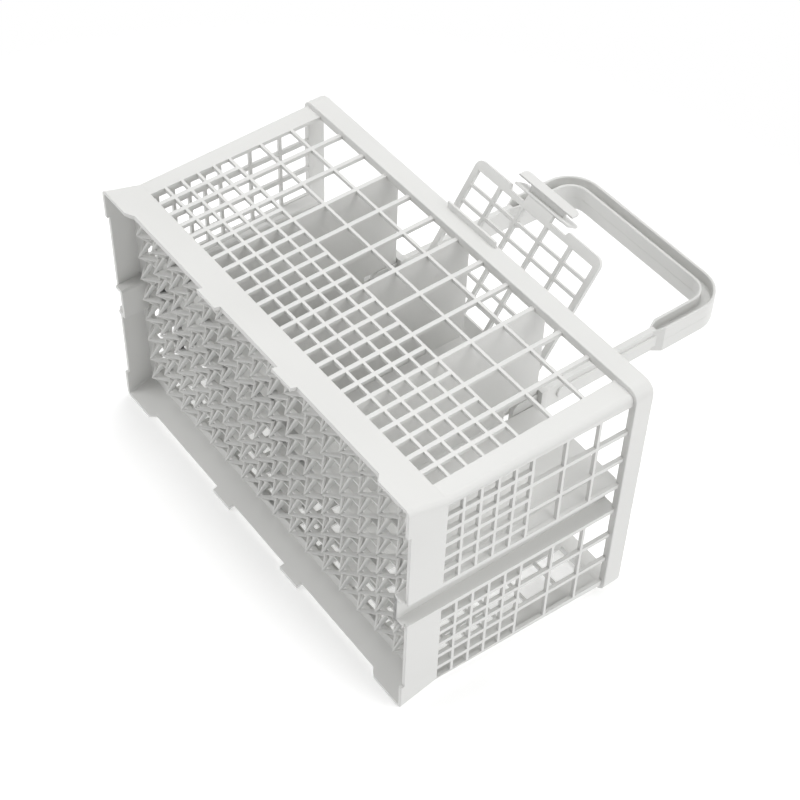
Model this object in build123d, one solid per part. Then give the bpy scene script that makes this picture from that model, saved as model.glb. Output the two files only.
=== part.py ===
from build123d import *
import os

os.makedirs("parts", exist_ok=True)

# Sizes in millimetres. X runs along the basket, Y from front to back, Z up from the feet.
# The basket outline: a drafted box above a crease, a skirt that flares below it.
body_height = 122.4
foot_length = 230.4
foot_width = 133.4
waist_width = 122.4
crease_height = 19.0
mouth_length = 235.2
mouth_width = 128.2
wall = 1.8
corner_radius = 2.8

# The stepped rim round the mouth.
rim_length = 238.2
rim_width = 133.0
rim_height = 10.1
rim_wall = 2.4
rim_floor = 2.0
rim_corner = 6.0
catch_length = 34.0
catch_reach = 3.4
catch_drop = 1.3
catch_thick = 1.2

# The dividers. Their spacing also sets the pitch of the long walls' grid and of the base mesh.
divider_pitch = 53.2
divider_thick = 2.2
divider_drop = 3.1

# The grid walls: five fine rows below three coarse ones, each coarse cell two fine cells wide.
row_pitch = 8.61
fine_rows = 5
coarse_rows = 3
long_columns = 24
column_pitch = divider_pitch / 6
end_columns = 6
end_pitch = 8.5
round_bar = 1.4
upright_bar = divider_thick
skin = 0.9

# The base mesh: zigzag ribs both ways that cross at their low points.
tip_columns = 16
tip_rows = 8
tip_pitch = divider_pitch / 4
tip_height = 6.4
peak_rise = 5.8
rib_width = 2.6
rib_depth = 2.4
divider_sink = 0.6

# The feet under the long sides and the groove in each end.
foot_run = 20.0
foot_slant = 3.5
tab_centre = 28.5
tab_length = 14.0
foot_depth = 3.0
end_foot = 16.0
end_foot_depth = 1.5
groove_width = 14.0
groove_wall = 2.0
groove_floor = 109.8

# The lid, its pins and the ears that carry them.
seat_gap = 0.3
lid_half = 44.0
lid_reach = 68.6
lid_thick = 2.0
lid_tail = 2.2
lid_corner = 4.0
lid_columns = 5
lid_column_pitch = 16.7
lid_rows = 7
lid_row_pitch = 8.6
lid_front_border = 4.3
lid_upright_bar = 1.9
lid_cross_bar = 1.5
lid_open = 33.0
pin_radius = 2.0
pin_clearance = 0.05
pin_root = 8.0
ear_gap = 0.4
ear_thick = 3.0
ear_half = 4.2
ear_depth = 10.0
ear_bevel = 2.4

# The latch at the middle of the lid's free edge.
stem_half = 9.0
notch_length = 10.5
notch_depth = 2.4
plate_length = 37.6
plate_bevel = 2.0
plate_thick = 1.4
plate_offset = 1.2
inner_plate_rise = 8.5
outer_plate_rise = 5.0
outer_plate_lean = 33.0
latch_slot = 3.0
web_half = 12.0

# The handle: a U-shaped strap of channel section on two flat legs.
handle_top = 237.6
strap = 8.3
strap_depth = 15.0
strap_flange = 1.5
strap_web = 2.0
strap_corner = 18.0
shoulder_height = 194.9
shoulder_slope = 5.3
leg_thick = 3.0
leg_width = 13.0
leg_foot = 105.5
foot_bevel = 2.4
slot_floor = 100.5
collar_width = 19.0
collar_height = 3.6
collar_flare = 2.8
leg_rib_width = 6.5
leg_rib_rise = 1.0
leg_rib_foot = 131.0

# Positions that follow from the sizes above.
rim_base = body_height - rim_height
divider_top = body_height - divider_drop
peak_height = tip_height + peak_rise
mesh_half_x = tip_columns * tip_pitch / 2
mesh_half_y = tip_rows * tip_pitch / 2
groove_half = groove_width / 2 + groove_wall
hinge_height = body_height + seat_gap + lid_thick / 2
row_start = rim_base - (fine_rows + 2 * coarse_rows) * row_pitch + round_bar / 2
row_lines = [n * row_pitch for n in range(fine_rows + 1)]
row_lines += [(fine_rows + 2 * n) * row_pitch for n in range(1, coarse_rows + 1)]


def tapered_box(inset):
    """The basket's outline, all its walls moved in by the inset."""
    foot, waist, mouth = (w / 2 - inset for w in (foot_width, waist_width, mouth_width))
    across = Polygon((-foot, 0), (foot, 0), (waist, crease_height), (mouth, body_height),
                     (-mouth, body_height), (-waist, crease_height), align=None)
    low, high = foot_length / 2 - inset, mouth_length / 2 - inset
    along = Polygon((-low, 0), (low, 0), (high, body_height), (-high, body_height), align=None)
    return extrude(Plane.YZ * across, rim_length, both=True) & extrude(Plane.XZ * along, rim_width, both=True)


def rounded_box():
    """The basket's outline with its upright corners rounded."""
    box = tapered_box(0)
    upright = [e for e in box.edges() if abs(e.tangent_at(0.5).Z) > 0.5]
    return fillet(upright, corner_radius)


def rim_block(inset, base):
    """The rim's rounded outline, moved in by the inset, from the base up to the top."""
    outline = RectangleRounded(rim_length - 2 * inset, rim_width - 2 * inset, rim_corner - inset)
    return extrude(Plane.XY.offset(base) * outline, body_height - base)


def grid_cutter(face, left, columns, pitch):
    """What opens a grid in a wall: row slots from outside, column slots from inside, met at the skin's depth.

    The face is a plane on the wall's outer side with its Y axis up the wall, the left edge is a column line.
    """
    middle = left + columns * pitch / 2
    width = columns * pitch - upright_bar
    rows = Sketch()
    for low, high in zip(row_lines, row_lines[1:]):
        rows += Pos(middle, (low + high) / 2) * Rectangle(width, high - low - round_bar)
    cells = Sketch()
    fine_top = row_lines[fine_rows] + round_bar / 2
    full = row_lines[-1] - round_bar
    for n in range(columns // 2):
        line = left + (2 * n + 1) * pitch
        cell = Pos(line, row_lines[-1] / 2) * Rectangle(2 * pitch - upright_bar, full)
        cells += cell - Pos(line, fine_top / 2) * Rectangle(upright_bar, fine_top)
    outer = extrude(face * rows, -skin) + extrude(face * rows, skin)
    return outer + extrude(face.offset(-skin) * cells, -2 * wall)


def tip_star():
    """One low point of the mesh: four sloping legs of three-cornered section, each half way to the next."""
    section = Polygon((0, 0), (rib_width / 2, rib_depth), (-rib_width / 2, rib_depth), align=None)
    slope = Vector(tip_pitch / 2, 0, peak_rise)
    leg = extrude(Plane.YZ * section, slope.length, dir=slope)
    return leg + [Rot(0, 0, turn) * leg for turn in (90, 180, 270)]


def spread(count, pitch):
    """Evenly spaced places either side of zero."""
    return [(n - (count - 1) / 2) * pitch for n in range(count)]


def make_body():
    """The basket, one moulding."""
    cavity = tapered_box(wall)
    body = rounded_box() + rim_block(0, rim_base) - cavity
    body -= rim_block(rim_wall, rim_base + rim_floor)
    catch = Pos(0, -(rim_width - rim_wall + catch_reach) / 2, body_height - catch_drop - catch_thick / 2)
    body += catch * Box(catch_length, rim_wall + catch_reach, catch_thick)

    # The groove in each end stands in the cavity as a closed channel.
    groove_depth = mouth_length - 2 * groove_floor
    channel = Pos(mouth_length / 2, 0) * Rectangle(groove_depth + 2 * groove_wall, 2 * groove_half)
    channel = extrude(channel, rim_base + rim_floor) & tapered_box(wall / 2)
    slot = Pos(mouth_length / 2, 0) * Rectangle(groove_depth, groove_width)
    slot = extrude(Plane.XY.offset(-1) * slot, rim_base + 1)
    body += channel + mirror(channel, Plane.YZ)

    # The grids. A wall's plane leans out with the draft.
    lean = ((mouth_width - waist_width) / 2) / (body_height - crease_height)
    front = Plane(origin=(0, -waist_width / 2 - lean * (row_start - crease_height), row_start),
                  x_dir=(1, 0, 0), z_dir=(0, -1, -lean))
    grid = grid_cutter(front, -long_columns / 2 * column_pitch, long_columns, column_pitch)
    body -= grid
    body -= mirror(grid, Plane.XZ)
    lean = ((mouth_length - foot_length) / 2) / body_height
    end = Plane(origin=(foot_length / 2 + lean * row_start, 0, row_start),
                x_dir=(0, 1, 0), z_dir=(1, 0, -lean))
    grid = grid_cutter(end, groove_half - round_bar / 2, end_columns, end_pitch)
    grid += mirror(grid, Plane.XZ)
    body -= grid
    body -= mirror(grid, Plane.YZ)

    # The feet: shallow recesses in the skirt's lower edge.
    reach = foot_length / 2 - foot_run
    gap = tab_centre - tab_length / 2
    side = tab_centre + tab_length / 2
    long_gap = Polygon((side, -1), (reach, -1), (reach, 0), (reach - foot_slant, foot_depth),
                       (side, foot_depth), align=None)
    recesses = long_gap + mirror(long_gap, Plane.YZ) + Rectangle(2 * gap, 2 * foot_depth)
    recesses = extrude(Plane.XZ * recesses, foot_width, both=True)
    body -= recesses - Box(rim_length, waist_width - 4 * wall, rim_width)
    end_gap = Rectangle(foot_width - 2 * end_foot, 2 * end_foot_depth)
    end_gap = extrude(Plane.YZ * end_gap, foot_length, both=True)
    body -= end_gap - Box(foot_length - 4 * wall, rim_width, rim_width)

    # The dividers stand on the ridges of the mesh, and the ledge round the mesh ties it to the walls.
    divider_base = peak_height + rib_depth - divider_sink
    divider_tall = divider_top - divider_base
    room = Pos(0, 0, divider_base + divider_tall / 2) * Box(rim_length, rim_width, divider_tall)
    room &= cavity
    plates = Box(2 * groove_floor - groove_wall, divider_thick, 4 * body_height)
    for x in (-divider_pitch, 0, divider_pitch):
        plates += Pos(x, 0, 0) * Box(divider_thick, rim_width, 4 * body_height)
    plates &= room
    leg_slot = Box(leg_thick + 2 * seat_gap, leg_width + 2 * seat_gap, 2 * (divider_top - slot_floor))
    plates -= Pos(divider_pitch, 0, divider_top) * leg_slot
    plates -= Pos(-divider_pitch, 0, divider_top) * leg_slot
    ledge = Pos(0, 0, peak_height + rib_depth / 2) * Box(rim_length, rim_width, rib_depth)
    ledge &= tapered_box(wall / 2)
    ledge -= Box(2 * mesh_half_x, 2 * mesh_half_y, rim_width)
    star = tip_star()
    stars = [Pos(x, y, tip_height) * star for x in spread(tip_columns, tip_pitch)
             for y in spread(tip_rows, tip_pitch)]
    mesh = stars[0].fuse(*stars[1:])
    body += ledge
    body += mesh
    body += plates
    body -= slot + mirror(slot, Plane.YZ)

    # The ears that carry the lid's pins.
    ear_foot = divider_top - ear_depth
    ear_top = hinge_height + ear_half
    ear = Pos(0, (ear_foot + ear_top) / 2) * Rectangle(2 * ear_half, ear_top - ear_foot)
    ear = chamfer(ear.vertices().group_by(Axis.Y)[-1], ear_bevel)
    ear -= Pos(0, hinge_height) * Circle(pin_radius + pin_clearance)
    ear = extrude(Plane.YZ.offset(lid_half + ear_gap) * ear, ear_thick)
    return body + ear + mirror(ear, Plane.YZ)


def latch_plate(rise):
    """A finger plate that stands on the XZ plane with its upper corners cut off."""
    plate = Pos(0, rise / 2) * Rectangle(plate_length, rise)
    plate = chamfer(plate.vertices().group_by(Axis.Y)[-1], plate_bevel)
    return extrude(Plane.XZ * plate, plate_thick)


def make_lid():
    """The hinged flap, drawn shut about its pins and then swung open."""
    plate = Pos(0, (lid_tail - lid_reach) / 2) * Rectangle(2 * lid_half, lid_reach + lid_tail)
    plate = fillet(plate.vertices().group_by(Axis.Y)[0], lid_corner)
    for x in (-1, 1):
        notch = Pos(x * (stem_half + notch_length / 2), -lid_reach) * Rectangle(notch_length, 2 * notch_depth)
        plate -= notch
    rows = Sketch()
    wide = lid_columns * lid_column_pitch - lid_upright_bar
    for n in range(lid_rows):
        y = lid_front_border + (n + 0.5) * lid_row_pitch - lid_reach
        rows += Pos(0, y) * Rectangle(wide, lid_row_pitch - lid_cross_bar)
    columns = Sketch()
    deep = lid_rows * lid_row_pitch - lid_cross_bar
    for x in spread(lid_columns, lid_column_pitch):
        y = lid_front_border + lid_rows * lid_row_pitch / 2 - lid_reach
        columns += Pos(x, y) * Rectangle(lid_column_pitch - lid_upright_bar, deep)
    stem = Pos(0, -lid_reach - plate_offset / 2) * Rectangle(2 * stem_half, plate_offset)
    lid = extrude(plate + stem, lid_thick / 2, both=True)
    lid -= extrude(rows, -lid_thick) + extrude(columns, lid_thick)
    inner_face = -lid_reach - plate_offset
    outer_face = inner_face - plate_thick - latch_slot
    web_end = outer_face - plate_thick
    lid += Pos(0, (web_end - lid_reach) / 2, 0) * Box(2 * web_half, -lid_reach - web_end, lid_thick)
    lid += Pos(0, inner_face, -lid_thick / 2) * latch_plate(inner_plate_rise)
    lid += Pos(0, outer_face, -lid_thick / 2) * Rot(outer_plate_lean, 0, 0) * latch_plate(outer_plate_rise)
    pin_end = lid_half + ear_gap + ear_thick
    for side in (-1, 1):
        pin = Pos(side * (pin_end + lid_half - pin_root) / 2, 0, 0) * Rot(0, 90, 0) * Cylinder(
            pin_radius, pin_end - lid_half + pin_root)
        lid += pin
    return Pos(0, 0, hinge_height) * Rot(-lid_open, 0, 0) * lid


def strap_outline(inset):
    """The U of the strap in front view, moved in by the inset, its legs cut off at the shoulder."""
    half = divider_pitch + strap / 2 - inset
    top = handle_top - inset
    tall = top - shoulder_height
    shape = Pos(0, top - tall / 2) * Rectangle(2 * half, tall)
    return fillet(shape.vertices().group_by(Axis.Y)[-1], strap_corner - inset)


def make_handle():
    """The handle, one moulding."""
    loop = strap_outline(0) - strap_outline(strap)
    handle = extrude(Plane.XZ * loop, strap_depth / 2, both=True)
    hollow = strap_outline(strap_flange) - strap_outline(strap - strap_flange)
    hollow = extrude(Plane.XZ * hollow, strap_depth, both=True)
    handle -= hollow - Box(rim_length, strap_web, 4 * handle_top)

    tall = shoulder_height + strap_flange - leg_foot
    leg = Pos(0, leg_foot + tall / 2) * Rectangle(leg_width, tall)
    leg = chamfer(leg.vertices().group_by(Axis.Y)[0], foot_bevel)
    collar_base = divider_top + seat_gap
    collar_top = collar_base + collar_height
    collar = Pos(0, collar_base + collar_height / 2) * Rectangle(collar_width, collar_height)
    flare = leg_width / 2 + collar_flare
    leg += Polygon((-flare, collar_top), (flare, collar_top), (0, collar_top + flare), align=None)
    leg = extrude(Plane.YZ * leg, leg_thick / 2, both=True)
    leg += extrude(Plane.YZ * collar, strap / 2, both=True)
    rib_length = shoulder_height + strap_flange - leg_rib_foot
    rib = Pos(0, leg_rib_foot + rib_length / 2) * Rectangle(leg_rib_width, rib_length)
    rib = chamfer(rib.vertices().group_by(Axis.Y)[0], leg_rib_width / 4)
    leg += extrude(Plane.YZ.offset(leg_thick / 2) * rib, leg_rib_rise)
    wedge = Polygon((-strap / 2, shoulder_height), (strap / 2, shoulder_height),
                    (leg_thick / 2, shoulder_height - shoulder_slope),
                    (-leg_thick / 2, shoulder_height - shoulder_slope), align=None)
    leg += extrude(Plane.XZ * wedge, leg_width / 2, both=True)
    leg = Pos(divider_pitch, 0, 0) * leg
    return handle + leg + mirror(leg, Plane.YZ)


export_step(make_body(), "parts/basket_body.step")
export_step(make_lid(), "parts/lid.step")
export_step(make_handle(), "parts/handle.step")
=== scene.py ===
# %% [markdown]
# The part comes in first. Its solids are a fixed frame: pieces are made to fit it and never the other way round. The
# box that it fills is kept and printed, and the paper behind the basket is later laid against its back.

# %% Load the frame
import bmesh
import bpy
import math
from mathutils import Matrix, Vector


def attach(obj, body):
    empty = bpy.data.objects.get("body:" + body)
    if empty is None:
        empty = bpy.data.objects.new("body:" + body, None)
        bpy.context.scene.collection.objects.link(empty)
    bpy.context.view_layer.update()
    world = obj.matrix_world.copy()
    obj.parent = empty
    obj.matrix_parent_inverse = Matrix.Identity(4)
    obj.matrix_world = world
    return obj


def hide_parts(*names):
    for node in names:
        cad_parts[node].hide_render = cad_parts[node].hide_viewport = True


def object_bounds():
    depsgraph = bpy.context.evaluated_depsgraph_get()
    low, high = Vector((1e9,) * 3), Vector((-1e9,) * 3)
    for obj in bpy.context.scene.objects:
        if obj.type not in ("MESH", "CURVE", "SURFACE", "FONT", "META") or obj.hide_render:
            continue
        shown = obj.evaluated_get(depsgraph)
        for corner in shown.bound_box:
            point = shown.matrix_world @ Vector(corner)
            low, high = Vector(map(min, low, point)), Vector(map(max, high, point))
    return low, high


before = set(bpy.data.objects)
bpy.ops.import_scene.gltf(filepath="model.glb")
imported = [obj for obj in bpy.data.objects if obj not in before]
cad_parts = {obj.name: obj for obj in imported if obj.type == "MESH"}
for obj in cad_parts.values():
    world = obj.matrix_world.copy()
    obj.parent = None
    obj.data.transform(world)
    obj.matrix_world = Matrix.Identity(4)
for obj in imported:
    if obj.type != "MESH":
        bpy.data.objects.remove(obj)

cad_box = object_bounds()
print("CAD box", [list(corner) for corner in cad_box])

# %% [markdown]
# The whole basket is one plastic: light grey polypropylene with a satin skin. Real mouldings are never quite even, so
# the colour drifts a little over a hand's width, the gloss varies over a few millimetres, and the skin has a fine
# grain. All of it comes from noise on Object coordinates, which stay put when the camera moves and need no
# unwrapping.

# %% The plastic
def satin_plastic(name, light, shade):
    """Moulded plastic: a slow drift between two greys, uneven gloss and a fine grain."""
    material = bpy.data.materials.new(name)
    material.use_nodes = True
    nodes, links = material.node_tree.nodes, material.node_tree.links
    shader = nodes["Principled BSDF"]
    place = nodes.new("ShaderNodeTexCoord")

    def noise(scale, detail):
        node = nodes.new("ShaderNodeTexNoise")
        node.inputs["Scale"].default_value = scale
        node.inputs["Detail"].default_value = detail
        links.new(place.outputs["Object"], node.inputs["Vector"])
        return node

    drift = noise(14, 3)
    colour = nodes.new("ShaderNodeValToRGB")
    colour.color_ramp.elements[0].position = 0.35
    colour.color_ramp.elements[0].color = (*shade, 1)
    colour.color_ramp.elements[1].position = 0.65
    colour.color_ramp.elements[1].color = (*light, 1)
    links.new(drift.outputs["Fac"], colour.inputs["Fac"])
    links.new(colour.outputs["Color"], shader.inputs["Base Color"])

    gloss = noise(180, 4)
    span = nodes.new("ShaderNodeMapRange")
    span.inputs["To Min"].default_value = 0.36
    span.inputs["To Max"].default_value = 0.5
    links.new(gloss.outputs["Fac"], span.inputs["Value"])
    links.new(span.outputs["Result"], shader.inputs["Roughness"])

    soft_edge = nodes.new("ShaderNodeBevel")
    soft_edge.samples = 4
    soft_edge.inputs["Radius"].default_value = 0.00025
    grain = noise(2600, 2)
    bump = nodes.new("ShaderNodeBump")
    bump.inputs["Strength"].default_value = 0.12
    bump.inputs["Distance"].default_value = 0.00005
    links.new(grain.outputs["Fac"], bump.inputs["Height"])
    links.new(soft_edge.outputs["Normal"], bump.inputs["Normal"])
    links.new(bump.outputs["Normal"], shader.inputs["Normal"])
    shader.inputs["IOR"].default_value = 1.49
    return material


grey_plastic = satin_plastic("grey_plastic", light=(0.71, 0.71, 0.695), shade=(0.685, 0.685, 0.67))
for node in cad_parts.values():
    node.data.materials.clear()
    node.data.materials.append(grey_plastic)
print("plastic on", sorted(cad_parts))

# %% [markdown]
# Every piece is finished in the same way: its mesh gets outward normals, smooth shading that stops at sharp edges and
# the plastic, and its object rides on one of the part's bodies and stands for the solid that it refines. Points are
# written in millimetres, the size a maker measures in, and the scale is changed once, when a mesh is made.

# %% Finishing helpers
mm = 0.001


def mesh_from(name, points, faces):
    """A mesh from points in millimetres, with all its faces turned outwards."""
    mesh = bpy.data.meshes.new(name)
    mesh.from_pydata([Vector(p) * mm for p in points], [], faces)
    turn_outwards(mesh)
    return mesh


def turn_outwards(mesh):
    """Merge doubled points, then make the normals of each closed form point away from it."""
    work = bmesh.new()
    work.from_mesh(mesh)
    bmesh.ops.remove_doubles(work, verts=work.verts, dist=1e-6)
    bmesh.ops.recalc_face_normals(work, faces=work.faces)
    work.to_mesh(mesh)
    work.free()


def baked(holder):
    """The plain mesh that an object's modifiers give. The object is only a mould, so it goes."""
    shape = holder.evaluated_get(bpy.context.evaluated_depsgraph_get())
    mesh = bpy.data.meshes.new_from_object(shape)
    bpy.data.objects.remove(holder)
    turn_outwards(mesh)
    return mesh


def holder_of(name, data):
    """An object in the scene that carries the data."""
    holder = bpy.data.objects.new(name, data)
    bpy.context.scene.collection.objects.link(holder)
    return holder


def moulding(name, meshes, body, node):
    """One moulded piece out of several meshes: joined, smoothed, coloured, and set in the frame."""
    work = bmesh.new()
    for mesh in meshes:
        work.from_mesh(mesh)
    whole = bpy.data.meshes.new(name)
    work.to_mesh(whole)
    work.free()
    whole.materials.clear()
    whole.materials.append(grey_plastic)
    whole.polygons.foreach_set("material_index", [0] * len(whole.polygons))
    whole.shade_smooth()
    whole.set_sharp_from_angle(angle=math.radians(24))
    mould = holder_of(name, whole)
    even = mould.modifiers.new("even_normals", "WEIGHTED_NORMAL")
    even.keep_sharp = True
    even.weight = 100
    whole = bpy.data.meshes.new_from_object(mould.evaluated_get(bpy.context.evaluated_depsgraph_get()))
    bpy.data.objects.remove(mould)
    piece = holder_of(name, whole)
    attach(piece, body)
    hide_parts(node)
    whole.calc_loop_triangles()
    print(name, "has", len(whole.loop_triangles), "triangles")


# %% [markdown]
# The basket's outline is a drafted box: it is a little wider at the mouth, so that it slips off its mould, and its
# long walls flare out again below a crease. It could be drawn as a box and tapered, but two functions that say how
# far the walls stand from the middle at each height serve better: everything on the walls is placed by them.

# %% The basket's outline
body_height, crease_height = 122.4, 19.0
rim_base, rim_floor = 112.3, 114.3
wall, corner_radius = 1.8, 2.8
row_start, wall_top = 18.29, rim_base + 1.2
foot_half_length, mouth_half_length = 115.2, 117.6
foot_half_width, waist_half_width, mouth_half_width = 66.7, 61.2, 64.1
end_lean = (mouth_half_length - foot_half_length) / body_height
long_lean = (mouth_half_width - waist_half_width) / (body_height - crease_height)
skirt_lean = (waist_half_width - foot_half_width) / crease_height


def half_length(z):
    """Distance of the end walls from the middle at a height."""
    return foot_half_length + end_lean * z


def half_width(z):
    """Distance of the long walls from the middle at a height."""
    if z < crease_height:
        return foot_half_width + skirt_lean * z
    return waist_half_width + long_lean * (z - crease_height)


print("mouth", 2 * half_length(body_height), "by", 2 * half_width(body_height))

# %% [markdown]
# The skirt and the four rounded corner posts are one sheet. It is laid out as columns of points round the basket and
# levels up it, and a face is left out where the skirt has a recess between two feet, where the groove runs down the
# end, or where a grid wall will stand. A Solidify modifier then gives the sheet the thickness of the moulding. On the
# flare it would push the inner edge a little below the floor, so the finished points are held at height zero or
# above.

# %% Skirt and corner posts
foot_end, foot_slant, tab_out, tab_in, foot_depth = 95.2, 3.5, 35.5, 21.5, 3.0
end_recess, end_recess_depth, groove_half = 50.7, 1.5, 7.0
levels = [0.0, end_recess_depth, foot_depth, crease_height, wall_top]
corner_steps = 6


def long_column(x, side):
    """A column of points up a long wall. The outer edge of a foot slants."""
    column = []
    for z in levels:
        slant = foot_slant * min(z / foot_depth, 1) if abs(x) == foot_end else 0
        column.append((math.copysign(abs(x) - slant, x), side * half_width(z), z))
    return column


def end_column(y, side):
    """A column of points up an end wall, whose grid begins a little below the crease."""
    heights = levels[:3] + [row_start] + levels[4:]
    return [(side * half_length(z), y, z) for z in heights]


def corner_column(quarter, step):
    """A column of points up a rounded corner."""
    turn = math.radians(90 * (quarter - 1 + step / corner_steps))
    sx = 1 if quarter in (0, 1) else -1
    sy = 1 if quarter in (1, 2) else -1
    to_long = step / corner_steps if quarter in (1, 3) else 1 - step / corner_steps
    column = []
    for level, z in enumerate(levels):
        if level == 3:
            z = row_start + (crease_height - row_start) * to_long
        column.append((sx * (half_length(z) - corner_radius) + corner_radius * math.cos(turn),
                       sy * (half_width(z) - corner_radius) + corner_radius * math.sin(turn), z))
    return column


columns, kinds = [], []
long_marks = [-foot_end, -tab_out, -tab_in, tab_in, tab_out, foot_end]
end_marks = [-end_recess, -groove_half, groove_half, end_recess]
for quarter, marks in enumerate((long_marks, end_marks, long_marks[::-1], end_marks[::-1])):
    side = -1 if quarter in (0, 3) else 1
    for mark in marks:
        columns.append(end_column(mark, side) if quarter % 2 else long_column(mark, side))
        kinds.append("end" if quarter % 2 else "long")
    for step in range(corner_steps + 1):
        columns.append(corner_column(quarter, step))
        kinds.append("corner")


def is_solid(a, b, level):
    """Whether the sheet has a face between two neighbouring columns above a level."""
    both_corner = kinds[a] == kinds[b] == "corner"
    if level == 3:
        return both_corner
    middle = [abs(columns[a][0][k] + columns[b][0][k]) / 2 for k in (0, 1)]
    if "long" in (kinds[a], kinds[b]) and level < 2:
        return tab_in < middle[0] < tab_out or middle[0] > foot_end
    if "end" in (kinds[a], kinds[b]):
        return middle[1] > groove_half and (level > 0 or middle[1] > end_recess)
    return True


height = len(levels)
faces = []
for a in range(len(columns)):
    b = (a + 1) % len(columns)
    for level in range(height - 1):
        if is_solid(a, b, level):
            faces.append((a * height + level, b * height + level, b * height + level + 1, a * height + level + 1))
sheet = bpy.data.meshes.new("skirt")
sheet.from_pydata([Vector(p) * mm for column in columns for p in column], [], faces)
skirt_mould = holder_of("skirt", sheet)
thicken = skirt_mould.modifiers.new("thicken", "SOLIDIFY")
thicken.thickness = wall * mm
thicken.offset = -1
thicken.use_even_offset = True
skirt = baked(skirt_mould)
for vertex in skirt.vertices:
    vertex.co.z = max(vertex.co.z, 0)
print("skirt and posts", len(skirt.polygons), "faces")

# %% [markdown]
# The grid walls and the lid are flat plates full of windows, so one Geometry Nodes tree makes them all. It takes an
# outline, sets rectangles on a grid of points, and fills the space between: a curve inside another one becomes a
# hole. The windows come in two sizes, as on the real basket, whose coarse windows are two fine ones wide and high.
# Bars laid across each other would also do, but they would overlap at every crossing, while a filled plate is flush
# like a moulding.

# %% Helpers for node trees
def new_tree(name, shape, counts, sizes):
    """An empty tree that takes a shape, whole numbers, lengths and the plastic, and gives a shape."""
    tree = bpy.data.node_groups.new(name, "GeometryNodeTree")
    kinds = [(shape, "Geometry")] + [(n, "Int") for n in counts] + [(n, "Float") for n in sizes]
    for label, kind in kinds + [("Plastic", "Material")]:
        tree.interface.new_socket(label, in_out="INPUT", socket_type="NodeSocket" + kind)
    tree.interface.new_socket("Result", in_out="OUTPUT", socket_type="NodeSocketGeometry")
    return tree


def feed(tree, socket, value):
    """Link a socket to another one, or set it to a number."""
    if isinstance(value, bpy.types.NodeSocket):
        tree.links.new(value, socket)
    else:
        socket.default_value = value


def add_node(tree, kind, **inputs):
    """A node with its inputs linked or set. An underscore stands for a space in a socket's name."""
    node = tree.nodes.new(kind)
    for name, value in inputs.items():
        feed(tree, node.inputs[name.replace("_", " ")], value)
    return node


def end_tree(tree, geometry, plastic):
    """Close a tree: real geometry, in plastic."""
    real = add_node(tree, "GeometryNodeRealizeInstances", Geometry=geometry)
    coloured = add_node(tree, "GeometryNodeSetMaterial", Geometry=real.outputs["Geometry"], Material=plastic)
    tree.links.new(coloured.outputs["Geometry"], tree.nodes.new("NodeGroupOutput").inputs[0])


def grown(mould, tree, sizes):
    """The mesh that a tree makes of an object. Lengths are in millimetres, and whole numbers are counts."""
    growth = mould.modifiers.new(tree.name, "NODES")
    growth.node_group = tree
    for key, value in dict(sizes, Plastic=grey_plastic).items():
        socket = tree.interface.items_tree[key]
        growth[socket.identifier] = value * mm if isinstance(value, float) else value
    return baked(mould)


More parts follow.
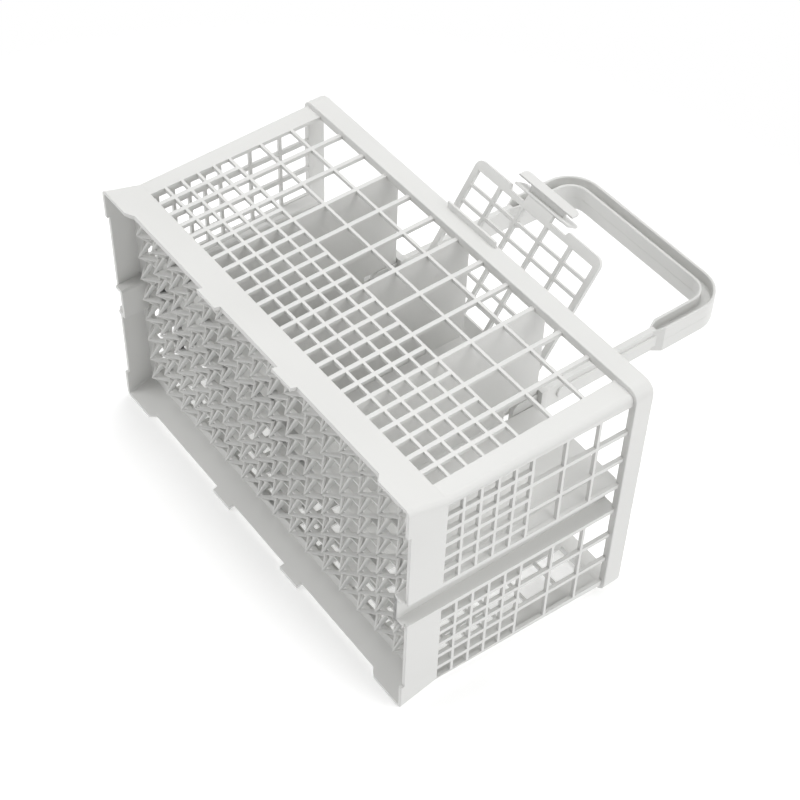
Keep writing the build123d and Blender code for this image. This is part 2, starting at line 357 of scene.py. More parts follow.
# %% The window plate tree
def window_plate_tree():
    """Outline in, plate with windows out."""
    tree = new_tree("window_plate", "Outline", ("Columns", "Fine Rows", "Coarse Rows"),
                    ("Column Pitch", "Row Pitch", "Upright Bar", "Row Bar", "Left Line", "Bottom Line", "Thickness"))
    nodes, links = tree.nodes, tree.links
    given = nodes.new("NodeGroupInput").outputs

    def add(kind, **inputs):
        return add_node(tree, kind, **inputs)

    def sum_up(operation, first, second):
        node = nodes.new("ShaderNodeMath")
        node.operation = operation
        feed(tree, node.inputs[0], first)
        feed(tree, node.inputs[1], second)
        return node.outputs[0]

    def windows(across, up, pitch, rise, bottom):
        """Rectangles on a grid whose lower left corner is where the two first lines cross."""
        grid = add("GeometryNodeMeshGrid", Vertices_X=across, Vertices_Y=up,
                   Size_X=sum_up("MULTIPLY", sum_up("SUBTRACT", across, 1), pitch),
                   Size_Y=sum_up("MULTIPLY", sum_up("SUBTRACT", up, 1), rise))
        middle = add("ShaderNodeCombineXYZ",
                     X=sum_up("ADD", given["Left Line"], sum_up("MULTIPLY", sum_up("MULTIPLY", across, pitch), 0.5)),
                     Y=sum_up("ADD", bottom, sum_up("MULTIPLY", sum_up("MULTIPLY", up, rise), 0.5)))
        placed = add("GeometryNodeTransform", Geometry=grid.outputs["Mesh"], Translation=middle.outputs["Vector"])
        window = add("GeometryNodeCurvePrimitiveQuadrilateral",
                     Width=sum_up("SUBTRACT", pitch, given["Upright Bar"]),
                     Height=sum_up("SUBTRACT", rise, given["Row Bar"]))
        spots = add("GeometryNodeInstanceOnPoints", Points=placed.outputs["Geometry"],
                    Instance=window.outputs["Curve"])
        return spots.outputs["Instances"]

    fine = windows(given["Columns"], given["Fine Rows"], given["Column Pitch"], given["Row Pitch"],
                   given["Bottom Line"])
    fine_top = sum_up("ADD", given["Bottom Line"], sum_up("MULTIPLY", given["Fine Rows"], given["Row Pitch"]))
    coarse = windows(sum_up("MULTIPLY", given["Columns"], 0.5), given["Coarse Rows"],
                     sum_up("MULTIPLY", given["Column Pitch"], 2), sum_up("MULTIPLY", given["Row Pitch"], 2), fine_top)
    outline = add("GeometryNodeMeshToCurve", Mesh=given["Outline"])
    curves = nodes.new("GeometryNodeJoinGeometry")
    for part in (outline.outputs["Curve"], fine, coarse):
        links.new(part, curves.inputs[0])
    flat = add("GeometryNodeRealizeInstances", Geometry=curves.outputs[0])
    plate = add("GeometryNodeFillCurve", Curve=flat.outputs["Geometry"])
    deep = add("GeometryNodeExtrudeMesh", Mesh=plate.outputs["Mesh"], Individual=False,
               Offset_Scale=sum_up("MULTIPLY", given["Thickness"], -1))
    both = nodes.new("GeometryNodeJoinGeometry")
    for part in (plate.outputs["Mesh"], deep.outputs["Mesh"]):
        links.new(part, both.inputs[0])
    welded = add("GeometryNodeMergeByDistance", Geometry=both.outputs[0], Distance=1e-6)
    end_tree(tree, welded.outputs["Geometry"], given["Plastic"])
    return tree


window_plate = window_plate_tree()


def window_mesh(name, outline, sizes):
    """A plate in the XY plane, its outer face at height zero. Lengths are in millimetres."""
    mesh = bpy.data.meshes.new(name)
    count = len(outline)
    mesh.from_pydata([(x * mm, y * mm, 0) for x, y in outline], [(n, (n + 1) % count) for n in range(count)], [])
    return grown(holder_of(name, mesh), window_plate, sizes)


print("inputs", [item.name for item in window_plate.interface.items_tree if item.in_out == "INPUT"])

# %% [markdown]
# A wall's plate is made lying down and then stood up against the basket. The matrix that does it has three columns:
# the direction along the wall, the direction up its slope, and the way out. The walls opposite are the same meshes
# turned by half a turn, which is right because the basket is alike on both sides.

# %% Grid walls
row_pitch, upright_bar, row_bar = 8.61, 2.2, 1.4
divider_pitch = 53.2
column_pitch, end_pitch, end_line = divider_pitch / 6, 8.5, 8.3
grid_sizes = {"Fine Rows": 5, "Coarse Rows": 3, "Row Pitch": row_pitch, "Upright Bar": upright_bar,
              "Row Bar": row_bar, "Bottom Line": 0.0, "Thickness": wall}


def stand_up(mesh, along, out, lean, place):
    """Turn a lying plate into a leaning wall."""
    along, out = Vector(along), Vector(out)
    up = (Vector((0, 0, 1)) + out * lean).normalized()
    turn = Matrix((along, up, along.cross(up))).transposed().to_4x4()
    mesh.transform(Matrix.Translation(Vector(place) * mm) @ turn)
    return mesh


def half_turn(mesh):
    """The same mesh on the opposite side of the basket."""
    other = mesh.copy()
    other.transform(Matrix.Rotation(math.pi, 4, "Z"))
    return other


tall = (wall_top - row_start) * math.hypot(1, long_lean)
low, high = half_length(row_start) - corner_radius, half_length(wall_top) - corner_radius
front = window_mesh("front_wall", [(-low, 0), (low, 0), (high, tall), (-high, tall)],
                    {**grid_sizes, "Columns": 24, "Column Pitch": column_pitch, "Left Line": -12 * column_pitch})
front_y = -waist_half_width + long_lean * (crease_height - row_start)
stand_up(front, (1, 0, 0), (0, -1, 0), long_lean, (0, front_y, row_start))
walls = [front, half_turn(front)]
tall = (wall_top - row_start) * math.hypot(1, end_lean)
low, high = half_width(crease_height) - corner_radius, half_width(wall_top) - corner_radius
back_outline = [(groove_half, 0), (low, 0), (high, tall), (groove_half, tall)]
front_outline = [(-low, 0), (-groove_half, 0), (-groove_half, tall), (-high, tall)]
for name, outline, left in (("end_wall_back", back_outline, end_line),
                            ("end_wall_front", front_outline, -end_line - 6 * end_pitch)):
    end = window_mesh(name, outline, {**grid_sizes, "Columns": 6, "Column Pitch": end_pitch, "Left Line": left})
    stand_up(end, (0, 1, 0), (1, 0, 0), end_lean, (half_length(row_start), 0, row_start))
    walls += [end, half_turn(end)]
print("walls", [len(mesh.polygons) for mesh in walls])

# %% [markdown]
# The rim is a ring with a stepped section: a ledge, a band round the outside, and an edge rounded for the hand. It is
# a loft, one rounded rectangle after another, each with its own size and height, and the last is joined to the first.
# A curve with a bevel profile would also follow the mouth, but it would keep one section where the wall below leans.

# %% The rim
def rounded_loop(along, across, radius, z, steps=6):
    """Points round a rounded rectangle with the given half sizes."""
    loop = []
    for quarter, (sx, sy) in enumerate(((1, 1), (-1, 1), (-1, -1), (1, -1))):
        for step in range(steps + 1):
            turn = math.radians(90 * (quarter + step / steps))
            loop.append((sx * (along - radius) + radius * math.cos(turn),
                         sy * (across - radius) + radius * math.sin(turn), z))
    return loop


def loft(name, loops, ring=False):
    """Skin a row of loops. A ring joins the last loop to the first, otherwise both ends are closed."""
    size = len(loops[0])
    faces = []
    for n in range(len(loops) if ring else len(loops) - 1):
        a, b = n * size, (n + 1) % len(loops) * size
        faces += [(a + k, a + (k + 1) % size, b + (k + 1) % size, b + k) for k in range(size)]
    if not ring:
        faces += [tuple(range(size)), tuple((len(loops) - 1) * size + k for k in range(size))]
    return mesh_from(name, [p for loop in loops for p in loop], faces)


rim_along, rim_across, rim_corner, rim_wall = 119.1, 66.5, 6.0, 2.4


def rim_loop(inset, z):
    """A loop on the rim, moved in from its outer face."""
    return rounded_loop(rim_along - inset, rim_across - inset, rim_corner - inset, z)


def wall_loop(inset, z):
    """A loop on the wall, moved in from its outer face."""
    return rounded_loop(half_length(z) - inset, half_width(z) - inset, corner_radius - inset, z)


rim = loft("rim", [wall_loop(0.2, rim_base), rim_loop(0.3, rim_base), rim_loop(0, rim_base + 0.3),
                   rim_loop(0, body_height - 1.1), rim_loop(0.15, body_height - 0.55),
                   rim_loop(0.55, body_height - 0.15),
                   rim_loop(1.1, body_height), rim_loop(rim_wall - 0.4, body_height),
                   rim_loop(rim_wall, body_height - 0.4), rim_loop(rim_wall, rim_floor),
                   wall_loop(wall, rim_floor), wall_loop(wall, rim_base)], ring=True)
print("rim", len(rim.polygons), "faces")

# %% [markdown]
# The base lets water out and keeps knife points in. Ribs run in zigzag both ways and cross at their low points, so
# one crossing with its four rising legs is nearly the whole pattern. A leg is slim at the tip and broad at the ridge,
# with a rounded keel below, and straight lattice bars tie the ridges together. Modelling the field by hand would mean
# over a hundred copies to keep in step, so one crossing is modelled and a second tree sets it on sixteen by eight
# points.

# %% One crossing of the base mesh
tip_columns, tip_rows = 16, 8
tip_pitch, tip_height, peak_rise, peak_top = divider_pitch / 4, 6.4, 5.8, 14.6
# The keel's points are shares of a leg's half width and of its depth.
keel = [(-1, 1), (-0.85, 0.45), (-0.45, 0.1), (0, 0), (0.45, 0.1), (0.85, 0.45), (1, 1)]
# A leg at its tip, half way and at the ridge: the share of its run, its half width and its depth.
leg_sizes = [(0, 0.45, 0.9), (0.5, 1.1, 1.8), (1, 1.65, 2.4)]


def add_leg(points, faces, tip, quarter):
    """A leg that rises from a tip: slim below, broad at the peak, with a rounded keel."""
    turn = Matrix.Rotation(math.radians(90 * quarter), 3, "Z")
    first, size = len(points), len(keel)
    for part, half, depth in leg_sizes:
        points += [turn @ Vector((part * tip_pitch / 2, half * side, part * peak_rise + depth * up)) + Vector(tip)
                   for side, up in keel]
    for n in (first, first + size):
        faces += [(n + k, n + (k + 1) % size, n + size + (k + 1) % size, n + size + k) for k in range(size)]
    faces += [tuple(range(first, first + size)), tuple(range(first + 2 * size, first + 3 * size))]


points, faces = [], []
for quarter in range(4):
    add_leg(points, faces, (0, 0, tip_height), quarter)
lattice_half, lattice_base, lattice_taper = 0.9, 12.6, 0.6
lattice_section = [(-1, peak_top), (1, peak_top), (lattice_taper, lattice_base), (-lattice_taper, lattice_base)]
for along, across in ((0, 1), (1, 0)):
    first = len(points)
    for end in (-1, 1):
        for side, z in lattice_section:
            spot = [0, 0, z]
            spot[along] = end * tip_pitch / 2
            spot[across] = tip_pitch / 2 + side * lattice_half
            points.append(spot)
    faces += [(first + k, first + (k + 1) % 4, first + 4 + (k + 1) % 4, first + 4 + k) for k in range(4)]
    faces += [tuple(range(first, first + 4)), tuple(range(first + 4, first + 8))]
star = mesh_from("star", points, faces)
print("crossing", len(star.polygons), "faces")

# %% The base mesh
def planting_tree():
    """A shape set on every point of a grid."""
    tree = new_tree("planting", "Shape", ("Columns", "Rows"), ("Length", "Width"))
    given = tree.nodes.new("NodeGroupInput").outputs
    grid = add_node(tree, "GeometryNodeMeshGrid", Vertices_X=given["Columns"], Vertices_Y=given["Rows"],
                    Size_X=given["Length"], Size_Y=given["Width"])
    spots = add_node(tree, "GeometryNodeInstanceOnPoints", Points=grid.outputs["Mesh"], Instance=given["Shape"])
    end_tree(tree, spots.outputs["Instances"], given["Plastic"])
    return tree


base_mesh = grown(holder_of("base_mesh", star), planting_tree(), {
    "Columns": tip_columns, "Rows": tip_rows,
    "Length": (tip_columns - 1) * tip_pitch, "Width": (tip_rows - 1) * tip_pitch})
print("base mesh", len(base_mesh.polygons), "faces")

# %% [markdown]
# Flat mouldings with rounded edges are quickest as two-dimensional curves: a filled outline, extruded to its
# thickness, with a small bevel. Dividers, ears, latch plates and the legs of the handle are made this way. A cube
# with a Bevel modifier would do for a plain plate, but not for one with slots. A bevel grows the outline, so the
# curve is offset inwards by the same amount to keep the size.

# %% Flat plates
def flat_plate(name, outlines, thickness, rounding=0.35):
    """A plate in the XY plane, its thickness either side of it. Outlines after the first are holes."""
    curve = bpy.data.curves.new(name, "CURVE")
    curve.dimensions = "2D"
    curve.fill_mode = "BOTH"
    curve.extrude = (thickness / 2 - rounding) * mm
    curve.bevel_depth = rounding * mm
    curve.bevel_resolution = 2
    curve.offset = -rounding * mm
    for outline in outlines:
        spline = curve.splines.new("POLY")
        spline.points.add(len(outline) - 1)
        for point, (x, y) in zip(spline.points, outline):
            point.co = (x * mm, y * mm, 0, 1)
        spline.use_cyclic_u = True
    return baked(holder_of(name, curve))


def stand(mesh, x_to, y_to, place):
    """Turn a plate so that its X and Y axes point the given ways, and put it in its place."""
    x_to, y_to = Vector(x_to), Vector(y_to)
    turn = Matrix((x_to, y_to, x_to.cross(y_to))).transposed().to_4x4()
    mesh.transform(Matrix.Translation(Vector(place) * mm) @ turn)
    return mesh


# %% [markdown]
# The dividers sort the cutlery: three stand across the basket and one runs along it. The outer two have a slot that
# takes a leg of the handle, and so has the long one where it crosses them. A Boolean could cut the slots, but an
# outline that has them from the start keeps its rounded edges all the way round.

# %% Dividers
divider_thick, divider_base, divider_top = 2.1, 14.0, 119.3
slot_floor, slot_half, slot_half_thick = 100.5, 6.8, 1.8
in_wall, clear_of_rim, clear_of_skirt = 0.6, 0.2, 0.4
foot = half_width(divider_base) - wall - clear_of_skirt
low, high = half_width(crease_height) - in_wall, half_width(divider_top) - wall - clear_of_rim
under_rim = half_width(rim_base) - in_wall
right_side = [(foot, divider_base), (low, crease_height), (under_rim, rim_base), (high, rim_floor),
              (high, divider_top)]
left_side = [(-y, z) for y, z in right_side[::-1]]
slot = [(slot_half, divider_top), (slot_half, slot_floor), (-slot_half, slot_floor), (-slot_half, divider_top)]
middle_plate = left_side[-1:] + right_side + left_side[:-1]
slotted_plate = left_side[-1:] + right_side + slot + left_side[:-1]
dividers = [stand(flat_plate("middle_divider", [middle_plate], divider_thick), (0, 1, 0), (0, 0, 1), (0, 0, 0))]
for side in (-1, 1):
    dividers.append(stand(flat_plate("cross_divider", [slotted_plate], divider_thick), (0, 1, 0), (0, 0, 1),
                          (side * divider_pitch, 0, 0)))
long_reach = 108.8
notch = [(divider_pitch - slot_half_thick, divider_top), (divider_pitch - slot_half_thick, slot_floor),
         (divider_pitch + slot_half_thick, slot_floor), (divider_pitch + slot_half_thick, divider_top)]
long_plate = [(long_reach, divider_base), (long_reach, divider_top)] + notch[::-1]
long_plate += [(-x, z) for x, z in notch] + [(-long_reach, divider_top), (-long_reach, divider_base)]
dividers.append(stand(flat_plate("long_divider", [long_plate], divider_thick), (1, 0, 0), (0, 0, 1), (0, 0, 0)))
print("dividers", len(dividers))

# %% [markdown]
# The groove in each end is a channel that stands in the basket. Its plan is a U, drawn once and lofted straight up. A
# thin ledge ties the base mesh to the walls. It is a flat plate with a hole for the mesh and a bay at each groove:
# cutting the bays with a Boolean would work too, but an outline that has them from the start needs no cut.

# %% Grooves and ledge
groove_floor, groove_wall, groove_chamfer = 109.8, 2.0, 0.8


def groove_loop(z):
    """The U of a groove's walls in plan."""
    mouth, outer = half_length(z) - wall, groove_half + groove_wall
    back = groove_floor - groove_wall
    chamfered = [(back + groove_chamfer, outer), (back, outer - groove_chamfer)]
    plan = [(mouth, -groove_half), (groove_floor, -groove_half), (groove_floor, groove_half), (mouth, groove_half),
            (mouth, outer)] + chamfered + [(x, -y) for x, y in chamfered[::-1]] + [(mouth, -outer)]
    return [(x, y, z) for x, y in plan]


groove = loft("groove", [groove_loop(0), groove_loop(wall_top)])
ledge_thick, ledge_level, bay_margin = 1.0, 12.2, 1.0
mesh_along, mesh_across = tip_columns * tip_pitch / 2, tip_rows * tip_pitch / 2
edge = [(x, y) for x, y, z in wall_loop(wall / 2, ledge_level)]
bay_half, bay_mouth = groove_half + bay_margin, half_length(ledge_level) - wall / 2
bay = [(bay_mouth, bay_half), (groove_floor - bay_margin, bay_half)]
bay += [(x, -y) for x, y in bay[::-1]]
half = len(edge) // 2
ledge_outline = edge[:half] + [(-x, y) for x, y in bay] + edge[half:] + bay[::-1]
ledge_hole = [(mesh_along, mesh_across), (-mesh_along, mesh_across),
              (-mesh_along, -mesh_across), (mesh_along, -mesh_across)]
ledge = stand(flat_plate("ledge", [ledge_outline, ledge_hole], ledge_thick, rounding=0.1), (1, 0, 0), (0, 1, 0),
              (0, 0, peak_top - ledge_thick / 2))
details = [groove, half_turn(groove), ledge]
print("ledge", len(ledge.polygons), "faces")

# %% [markdown]
# The ears stand on the lengthwise divider and carry the lid's pins, so they are plates with a bore. The catch that
# the latch snaps over is a small shelf on the front rim. Both are flat plates, like the dividers.

# %% Ears and catch
hinge_height, pin_radius, pin_clearance, lid_half = 123.7, 2.0, 0.05, 44.0
ear_half, ear_foot, ear_bevel, ear_thick, ear_gap = 4.2, 109.3, 2.4, 3.0, 0.4
catch_half, catch_front, catch_back, catch_thick, catch_level = 17.0, -69.9, -65.3, 1.2, 120.5


def circle(radius, steps=20):
    """Points round a circle about zero."""
    turns = [2 * math.pi * n / steps for n in range(steps)]
    return [(radius * math.cos(turn), radius * math.sin(turn)) for turn in turns]


ear_top = hinge_height + ear_half
ear_edge = [(ear_half, ear_foot), (ear_half, ear_top - ear_bevel), (ear_half - ear_bevel, ear_top)]
ear_outline = [(-ear_half, ear_foot)] + ear_edge + [(-y, z) for y, z in ear_edge[:0:-1]]
bore = [(y, hinge_height + z) for y, z in circle(pin_radius + pin_clearance)]
for side in (-1, 1):
    details.append(stand(flat_plate("ear", [ear_outline, bore], ear_thick, rounding=0.25), (0, 1, 0), (0, 0, 1),
                         (side * (lid_half + ear_gap + ear_thick / 2), 0, 0)))
shelf = [(-catch_half, catch_front), (catch_half, catch_front), (catch_half, catch_back), (-catch_half, catch_back)]
details.append(stand(flat_plate("catch", [shelf], catch_thick, rounding=0.3), (1, 0, 0), (0, 1, 0),
                     (0, 0, catch_level)))
print("details", len(details))

# %% [markdown]
# On the real basket all of this leaves the mould together. Here the meshes are joined into one and overlap a little
# where they meet. A Boolean union would remove what lies inside, but at the price of long thin triangles that shade
# badly.

# %% The basket in one piece
moulding("basket_moulding", [skirt, rim, base_mesh] + walls + dividers + details, "basket", "basket_body")

# %% [markdown]
# The lid is a window plate as well, with rounded corners and two notches that let the latch bend. It is drawn shut,
# about its pins, because a shut lid is square to the axes, and then swung to where the photograph shows it.

# %% The lid's plate
lid_reach, lid_tail, lid_thick, lid_corner = 68.6, 2.2, 2.0, 4.0
lid_columns, lid_column_pitch, lid_border = 5, 16.7, 4.3
stem_half, notch_length, notch_depth, notch_slant, stem_reach = 9.0, 10.5, 2.4, 1.2, 1.2
right_edge = [(lid_half, lid_tail)]
for step in range(7):
    turn = math.radians(-15 * step)
    right_edge.append((lid_half - lid_corner + lid_corner * math.cos(turn),
                       lid_corner - lid_reach + lid_corner * math.sin(turn)))
notch_end = stem_half + notch_length
right_edge += [(notch_end + notch_slant, -lid_reach), (notch_end, notch_depth - lid_reach),
               (stem_half, notch_depth - lid_reach), (stem_half, -lid_reach - stem_reach)]
lid_outline = right_edge + [(-x, y) for x, y in right_edge[::-1]]
lid_plate = window_mesh("lid_plate", lid_outline[::-1], {
    "Columns": lid_columns, "Fine Rows": 7, "Coarse Rows": 0, "Column Pitch": lid_column_pitch, "Row Pitch": 8.6,
    "Upright Bar": 1.9, "Row Bar": 1.5, "Left Line": -lid_columns / 2 * lid_column_pitch,
    "Bottom Line": lid_border - lid_reach, "Thickness": lid_thick})
lid_plate.transform(Matrix.Translation((0, 0, lid_thick / 2 * mm)))
print("lid plate", len(lid_plate.polygons), "faces")

# %% [markdown]
# The latch is a pair of finger plates on a short tongue: the inner one stands upright on the lid's edge, the outer
# one leans away from it. The pins are short lofts of circles, with the ends drawn in so that they slip into the ears.
# A cylinder with a Bevel modifier would give the same pin, but the loft is at hand. Last, the whole lid swings open.

# %% The latch, the pins and the whole lid
plate_half, plate_bevel, plate_nip, plate_thick = 18.8, 2.0, 0.6, 1.4
latch_slot, inner_rise, outer_rise, outer_lean = 3.0, 8.5, 5.0, math.radians(33)
tongue_half, tongue_bite, tongue_lap, tongue_level = 12, 1.2, 0.2, 2.6
pin_root, pin_tip, pin_nose = 36.0, 47.4, 0.4
lid_open = math.radians(33)


def finger_plate(rise, lean, place):
    """A plate on the lid's edge, leaning outwards by an angle from upright."""
    edge = [(plate_half, 0), (plate_half, rise - plate_bevel), (plate_half - plate_nip, rise - plate_nip),
            (plate_half - plate_bevel, rise)]
    outline = [(-plate_half, 0)] + edge + [(-x, z) for x, z in edge[:0:-1]]
    up = (0, -math.sin(lean), math.cos(lean))
    back = (0, math.cos(lean), math.sin(lean))
    middle = Vector(place) - Vector(back) * plate_thick / 2
    return stand(flat_plate("finger_plate", [outline], plate_thick, rounding=0.4), (1, 0, 0), up, middle)


inner_face = -lid_reach - stem_reach
outer_face = inner_face - plate_thick - latch_slot
tongue_front, tongue_back = outer_face - tongue_bite, -lid_reach - tongue_lap
tongue = [(-tongue_half, tongue_front), (tongue_half, tongue_front), (tongue_half, tongue_back),
          (-tongue_half, tongue_back)]
lid_parts = [lid_plate,
             finger_plate(inner_rise, 0, (0, inner_face, -lid_thick / 2)),
             finger_plate(outer_rise, outer_lean, (0, outer_face, -lid_thick / 2)),
             stand(flat_plate("tongue", [tongue], lid_thick), (1, 0, 0), (0, 1, 0), (0, 0, tongue_level))]
rings = [(pin_root, pin_radius - pin_nose), (pin_root + pin_nose, pin_radius),
         (pin_tip - pin_nose, pin_radius), (pin_tip, pin_radius - pin_nose)]
for side in (-1, 1):
    lid_parts.append(loft("pin", [[(side * x, y, z) for y, z in circle(radius)] for x, radius in rings]))
for part in lid_parts:
    part.transform(Matrix.Translation((0, 0, hinge_height * mm)) @ Matrix.Rotation(-lid_open, 4, "X"))
moulding("grid_lid", lid_parts, "lid", "lid")

# %% [markdown]
# The handle's strap has the section of a girder: two bands joined by a web, so it is stiff and light. The section is
# carried along a U-shaped path, and the hair-fine groove down the middle of each band is where the two halves of the
# mould met. A curve with this section as its bevel object would do the same, but a loft can also narrow it: at each
# shoulder the open channel shrinks until it closes on the leg.

# %% The handle's strap
handle_top, strap_half, strap_corner, shoulder, shoulder_foot = 237.6, 4.15, 18.0, 194.9, 189.6
band, deep, web, edge_round, web_round, seam_deep, seam_half = 1.5, 7.5, 1.0, 0.45, 0.5, 0.14, 0.25
inside = strap_half - band
quarter_section = [(strap_half - seam_deep, 0), (strap_half, seam_half), (strap_half, deep - edge_round),
                   (strap_half - edge_round, deep), (inside + edge_round, deep), (inside, deep - edge_round),
                   (inside, web + web_round), (inside - web_round, web)]
half_section = quarter_section + [(-n, y) for n, y in quarter_section[::-1]]
section = half_section + [(n, -y) for n, y in half_section[-2:0:-1]]
path = [((divider_pitch, shoulder), (1, 0)), ((divider_pitch, handle_top - strap_corner), (1, 0))]
bend = strap_corner - strap_half
for step in range(1, 11):
    turn = math.radians(9 * step)
    out = (math.cos(turn), math.sin(turn))
    path.append(((divider_pitch - bend + bend * out[0], handle_top - strap_corner + bend * out[1]), out))
path += [((-x, z), (-nx, nz)) for (x, z), (nx, nz) in path[::-1]]
strap_loops = [[(x + n * nx, y, z + n * nz) for n, y in section] for (x, z), (nx, nz) in path]
foot_thin, foot_shallow = 0.35, 0.855
foot_loop = [(n * foot_thin, y * foot_shallow) for n, y in section]
strap_loops.insert(0, [(divider_pitch + n, y, shoulder_foot) for n, y in foot_loop])
strap_loops.append([(-divider_pitch - n, y, shoulder_foot) for n, y in foot_loop])
strap = loft("strap", strap_loops)
print("strap", len(strap.polygons), "faces")

# %% [markdown]
# Below the shoulder each leg is a flat plate with a rib on its outer side, and a collar stops it on the divider. The
# rib ends in a half circle, as a moulded rib does. All three are flat plates again, stood up side by side.

# %% The legs and the whole handle
leg_half, leg_thick, leg_foot, leg_bevel, leg_head = 6.5, 3.0, 105.5, 2.4, shoulder_foot + 2.0
collar_base, collar_height, collar_half = 119.6, 3.6, 9.5
flare_top = collar_base + collar_height
right_side = [(leg_half - leg_bevel, leg_foot), (leg_half, leg_foot + leg_bevel), (leg_half, flare_top),
              (leg_half + 2.8, flare_top), (leg_half + 1.1, flare_top + 0.7), (leg_half + 0.3, flare_top + 1.9),
              (leg_half, flare_top + 3.4), (leg_half, leg_head)]
leg_outline = right_side + [(-y, z) for y, z in right_side[::-1]]
collar_outline = [(-collar_half, collar_base), (collar_half, collar_base), (collar_half, flare_top),
                  (-collar_half, flare_top)]
rib_half, rib_start, rib_thick, rib_shift = 3.25, 134.25, 1.6, 1.7
rib_turns = [math.radians(180 + 20 * n) for n in range(10)]
rib_outline = [(rib_half, leg_head), (-rib_half, leg_head)]
rib_outline += [(rib_half * math.cos(turn), rib_start + rib_half * math.sin(turn)) for turn in rib_turns]
handle_parts = [strap]
for side in (-1, 1):
    leg = flat_plate("leg", [leg_outline], leg_thick)
    collar = flat_plate("collar", [collar_outline], 2 * strap_half, rounding=edge_round)
    rib = flat_plate("leg_rib", [rib_outline], rib_thick)
    for plate, shift in ((leg, 0), (collar, 0), (rib, rib_shift)):
        handle_parts.append(stand(plate, (0, 1, 0), (0, 0, 1), (side * (divider_pitch + shift), 0, 0)))
moulding("carry_handle", handle_parts, "basket", "handle")

# %% [markdown]
# The basket is photographed lying on its back, while the model stands on its feet. The stage turns, not the part: one
# sheet of pale paper lies against the basket's back, a second one under its feet serves the upright views. Each is
# seen only from its front, so neither hides the basket from a camera behind it, and each fades out away from the
# basket, so that no edge or horizon shows. The sheets are there for the camera alone and catch the basket's soft
# shadow.

# %% The stage
paper_half, paper_white, fade_start, fade_end = 3.0, 1.2, 0.24, 0.42


def paper_sheet(name, corner, along, across):
    """A square sheet that shows on its front side only."""
    mesh = bpy.data.meshes.new(name)
    corner, along, across = Vector(corner), Vector(along), Vector(across)
    mesh.from_pydata([corner, corner + along, corner + along + across, corner + across], [], [(0, 1, 2, 3)])
    sheet = holder_of(name, mesh)
    material = bpy.data.materials.new(name)
    material.use_nodes = True
    nodes, links = material.node_tree.nodes, material.node_tree.links
    nodes.clear()
    side = nodes.new("ShaderNodeNewGeometry")
    place = nodes.new("ShaderNodeTexCoord")
    distance = nodes.new("ShaderNodeVectorMath")
    distance.operation = "LENGTH"
    fade = nodes.new("ShaderNodeMapRange")
    fade.inputs["From Min"].default_value = fade_start
    fade.inputs["From Max"].default_value = fade_end
    unseen = nodes.new("ShaderNodeMath")
    unseen.operation = "MAXIMUM"
    links.new(place.outputs["Object"], distance.inputs[0])
    links.new(distance.outputs["Value"], fade.inputs["Value"])
    links.new(fade.outputs["Result"], unseen.inputs[0])
    links.new(side.outputs["Backfacing"], unseen.inputs[1])
    paper = nodes.new("ShaderNodeBsdfDiffuse")
    paper.inputs["Color"].default_value = (paper_white, paper_white, paper_white, 1)
    clear = nodes.new("ShaderNodeBsdfTransparent")
    mix = nodes.new("ShaderNodeMixShader")
    output = nodes.new("ShaderNodeOutputMaterial")
    links.new(unseen.outputs["Value"], mix.inputs[0])
    links.new(paper.outputs["BSDF"], mix.inputs[1])
    links.new(clear.outputs["BSDF"], mix.inputs[2])
    links.new(mix.outputs["Shader"], output.inputs["Surface"])
    mesh.materials.append(material)
    for ray in ("diffuse", "glossy", "transmission", "volume_scatter", "shadow"):
        setattr(sheet, "visible_" + ray, False)
    return sheet


back_of_basket = cad_box[1][1]
lying_floor = paper_sheet("lying_floor", (-paper_half, back_of_basket, -paper_half),
                          (2 * paper_half, 0, 0), (0, 0, 2 * paper_half))
standing_floor = paper_sheet("standing_floor", (-paper_half, -paper_half, 0),
                             (2 * paper_half, 0, 0), (0, 2 * paper_half, 0))
print("floors face", lying_floor.data.polygons[0].normal, standing_floor.data.polygons[0].normal)

# %% [markdown]
# Product light is soft. A large lamp hangs over the lying basket, which is in front of the standing one, a second
# looks into its base and a third at its near end. Area lamps are chosen because their size is what softens a shadow.

# %% The lamps
def soft_box(name, position, aim, size, power):
    """A square lamp that looks at a point."""
    lamp = bpy.data.lights.new(name, "AREA")
    lamp.size = size
    lamp.energy = power
    holder = holder_of(name, lamp)
    holder.location = position
    holder.rotation_euler = (Vector(aim) - Vector(position)).to_track_quat("-Z", "Y").to_euler()


middle = (0, 0, 0.08)
soft_box("key", (-0.1, -1.5, 0.2), middle, 1.0, 12.6)
soft_box("left", (-0.9, -0.7, -1.0), middle, 0.9, 8)
soft_box("right", (1.2, -0.9, 0.4), middle, 0.8, 6.2)

# %% [markdown]
# The surroundings fill the shadows. A white table throws much light back up, so the fill is stronger from the paper's
# side and from the mouth, and weak from the lamps' side. A dot product of the light's direction with the way to the
# table gives that slope. The camera sees plain white instead, as in a studio where the backdrop is lit on its own.

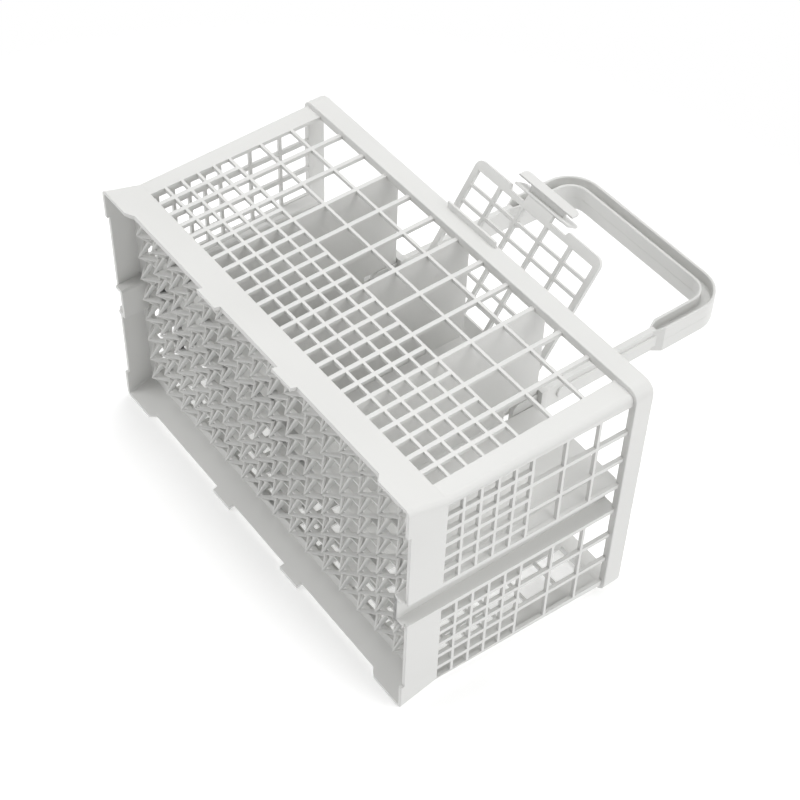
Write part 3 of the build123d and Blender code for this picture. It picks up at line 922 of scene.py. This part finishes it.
# %% The surroundings
to_table, fill_least, fill_most = (0, 0.92, 0.39), 0.15, 1.45
world = bpy.data.worlds.new("studio")
bpy.context.scene.world = world
world.use_nodes = True
nodes, links = world.node_tree.nodes, world.node_tree.links
fill = nodes["Background"]
fill.inputs["Color"].default_value = (1, 1, 1, 1)
way = nodes.new("ShaderNodeTexCoord")
toward_bounce = nodes.new("ShaderNodeVectorMath")
toward_bounce.operation = "DOT_PRODUCT"
toward_bounce.inputs[1].default_value = to_table
bounce = nodes.new("ShaderNodeMapRange")
bounce.inputs["From Min"].default_value = -1
bounce.inputs["To Min"].default_value = fill_least
bounce.inputs["To Max"].default_value = fill_most
links.new(way.outputs["Generated"], toward_bounce.inputs[0])
links.new(toward_bounce.outputs["Value"], bounce.inputs["Value"])
links.new(bounce.outputs["Result"], fill.inputs["Strength"])
backdrop = nodes.new("ShaderNodeBackground")
backdrop.inputs["Color"].default_value = (1, 1, 1, 1)
backdrop.inputs["Strength"].default_value = 1.0
ray = nodes.new("ShaderNodeLightPath")
choice = nodes.new("ShaderNodeMixShader")
links.new(ray.outputs["Is Camera Ray"], choice.inputs[0])
links.new(fill.outputs["Background"], choice.inputs[1])
links.new(backdrop.outputs["Background"], choice.inputs[2])
links.new(choice.outputs["Shader"], nodes["World Output"].inputs["Surface"])
bpy.context.scene.view_settings.view_transform = "Standard"
print("surroundings", world.name, "with fill from", fill_least, "to", fill_most)

# %% [markdown]
# The camera stands where the photographer stood. Its place and turn were worked out from the basket's straight edges,
# which run to three vanishing points in the photograph. The three columns are the picture's right, its up, and the
# way from the scene back to the lens.

# %% The camera
lens = bpy.data.cameras.new("camera")
lens.sensor_width = 36
lens.lens = 78.67
camera = holder_of("camera", lens)
picture_right = Vector((0.5954, -0.0247, 0.8031))
picture_up = Vector((-0.5973, -0.6822, 0.4218))
to_lens = picture_right.cross(picture_up).normalized()
turn = Matrix((picture_right, picture_up, to_lens)).transposed().to_4x4()
camera.matrix_world = Matrix.Translation((0.4419, -0.5780, -0.2623)) @ turn
bpy.context.scene.camera = camera
print("camera at", camera.location[:])
